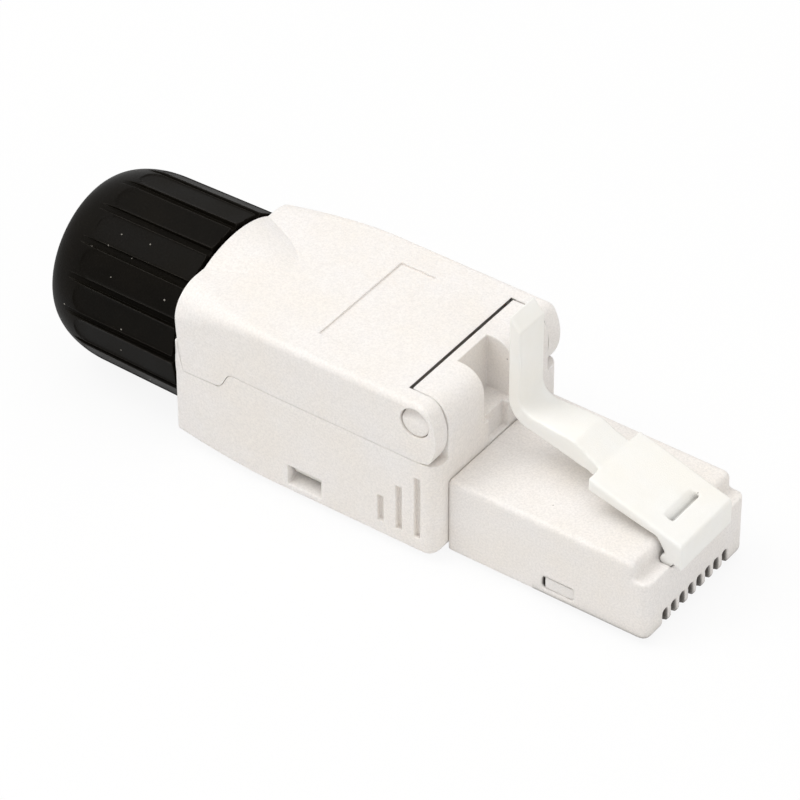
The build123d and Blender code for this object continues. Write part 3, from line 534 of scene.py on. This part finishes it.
cap_runs = [cap_rim_round * (1 - math.cos(math.pi / 2 * step / rim_steps)) for step in range(rim_steps + 1)]
cap_runs += even_steps(cap_rim_round, fine_start, barrel_steps)
cap_runs += even_steps(fine_start, fine_end, fine_steps)
dome_start_turn = math.asin((fine_end - cap_barrel_length) / dome_length)
dome_turns = even_steps(dome_start_turn, math.pi / 2, dome_steps)
cap_runs += [cap_barrel_length + dome_length * math.sin(turn) for turn in dome_turns]
rings = [cap_ring(run) for run in cap_runs]
hole_inner = cap_length - cap_end_wall
inside_profile = (
    (cap_length, cap_face_radii[0]),
    (cap_length, cap_face_radii[1]),
    (cap_length, cap_hole_radius + cap_hole_round),
    (cap_length - cap_hole_round, cap_hole_radius),
    (hole_inner, cap_hole_radius),
    (hole_inner, cap_bore_radius),
    (cap_bore_round, cap_bore_radius),
    (0.0, cap_bore_radius + cap_bore_round),
)
rings += [plain_ring(run, radius) for run, radius in inside_profile]
columns = len(rings[0])
cap_faces = []
for row in range(len(rings)):
    below = row * columns
    above = ((row + 1) % len(rings)) * columns
    for column in range(columns):
        beside = (column + 1) % columns
        cap_faces.append((below + column, below + beside, above + beside, above + column))
cap_piece = add_mesh("cap_skin", [point for ring in rings for point in ring], cap_faces, "black_cap", "cap")
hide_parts("cap_nut")

# Thread ridge on the collar, wound left-handed, fading out at both ends
thread_turns = (collar_length - thread_start - thread_end_margin) / thread_pitch
thread_count = int(thread_turns * thread_steps)
thread_profile = (
    (-thread_half_foot, 0.0),
    (-thread_half_crest, 1.0),
    (thread_half_crest, 1.0),
    (thread_half_foot, 0.0),
)
points = len(thread_profile)
thread_vertices = []
thread_faces = []
for step in range(thread_count + 1):
    turns = step / thread_steps
    fade = max(0.0, min(1.0, turns / thread_fade_turns, (thread_turns - turns) / thread_fade_turns))
    for along, height in thread_profile:
        radius = thread_root_radius + (thread_crest_radius - thread_root_radius) * height * fade
        run = thread_start + turns * thread_pitch + along * max(thread_least_width, fade)
        thread_vertices.append(cap_point(run, radius, math.pi / 2 + 2 * math.pi * turns))
for step in range(thread_count):
    first = step * points
    second = first + points
    for point in range(points):
        beside = (point + 1) % points
        thread_faces.append((first + point, first + beside, second + beside, second + point))
thread_faces.append(tuple(range(points)))
thread_faces.append(tuple(thread_count * points + point for point in range(points)))
add_mesh("collar_thread", thread_vertices, thread_faces, "white_shell", "base")

# Snap tabs that stand in the nose windows, a little below the wall of the nose
tab_faces = [(0, 1, 3, 2), (4, 6, 7, 5), (0, 4, 5, 1), (2, 3, 7, 6), (0, 2, 6, 4), (1, 5, 7, 3)]
for tab_name, side in (("nose_tab_near", -1), ("nose_tab_far", 1)):
    corners = itertools.product(*zip(tab_low, tab_high))
    tab = add_mesh(tab_name, [(x, side * y, z) for x, y, z in corners], tab_faces, "white_shell", "base")
    rounded = tab.modifiers.new("rounded_edges", "BEVEL")
    rounded.width = tab_round * MM
    rounded.segments = ROUNDING_STEPS
    tab.modifiers.new("even_shading", "WEIGHTED_NORMAL")

# Floor: pale, white to the camera, and it keeps the plug's shadow
floor_tree = Tree(bpy.data.materials.new("floor_white"))
matt = floor_tree.add("ShaderNodeBsdfDiffuse", {"Color": (floor_grey, floor_grey, floor_grey, 1.0)})
glow = floor_tree.add("ShaderNodeEmission", {"Color": rgba(PURE_WHITE), "Strength": 1.0})
floor_tree.blend(floor_tree.maths("MULTIPLY", floor_tree.seen(), floor_lift), matt, glow)
floor_mesh = bpy.data.meshes.new("floor")
half = floor_size / 2
floor_corners = [(-half, -half, 0), (half, -half, 0), (half, half, 0), (-half, half, 0)]
floor_mesh.from_pydata(floor_corners, [], [(0, 1, 2, 3)])
floor_mesh.materials.append(floor_tree.owner)
floor = bpy.data.objects.new("floor", floor_mesh)
bpy.context.scene.collection.objects.link(floor)

# World: plain light for the object, white where the camera sees it
world = bpy.data.worlds.new("studio")
bpy.context.scene.world = world
world_tree = Tree(world, "ShaderNodeOutputWorld")
soft_light = world_tree.add("ShaderNodeBackground", {"Color": rgba(SOFT_LIGHT), "Strength": world_strength})
white_view = world_tree.add("ShaderNodeBackground", {"Color": rgba(PURE_WHITE), "Strength": 1.0})
world_tree.blend(world_tree.seen(), soft_light, white_view)

# Lamps: square soft boxes that face the plug
for name, place, size, power, colour in lamps:
    lamp = bpy.data.lights.new(name, "AREA")
    lamp.shape = "SQUARE"
    lamp.size = size
    lamp.energy = power
    lamp.color = colour
    box = bpy.data.objects.new(name, lamp)
    box.location = place
    box.rotation_euler = (-Vector(place)).to_track_quat("-Z", "Y").to_euler()
    bpy.context.scene.collection.objects.link(box)

# Camera
azimuth, elevation, roll = (math.radians(v) for v in (camera_azimuth, camera_elevation, camera_roll))
back = Vector(
    (math.sin(azimuth) * math.cos(elevation), -math.cos(azimuth) * math.cos(elevation), math.sin(elevation))
)
level_right = Vector((math.cos(azimuth), math.sin(azimuth), 0))
level_up = back.cross(level_right)
right = level_right * math.cos(roll) + level_up * math.sin(roll)
up = -level_right * math.sin(roll) + level_up * math.cos(roll)
camera_data = bpy.data.cameras.new("camera")
camera_data.sensor_width = sensor_mm
camera_data.lens = focal_pixels / photo_pixels * sensor_mm
camera_data.clip_start = 0.01
camera_data.clip_end = 10
camera = bpy.data.objects.new("camera", camera_data)
turn = Matrix((right, up, back)).transposed().to_4x4()
camera.matrix_world = Matrix.Translation(Vector(camera_place)) @ turn
bpy.context.scene.collection.objects.link(camera)
bpy.context.scene.camera = camera
bpy.context.scene.view_settings.view_transform = "Standard"
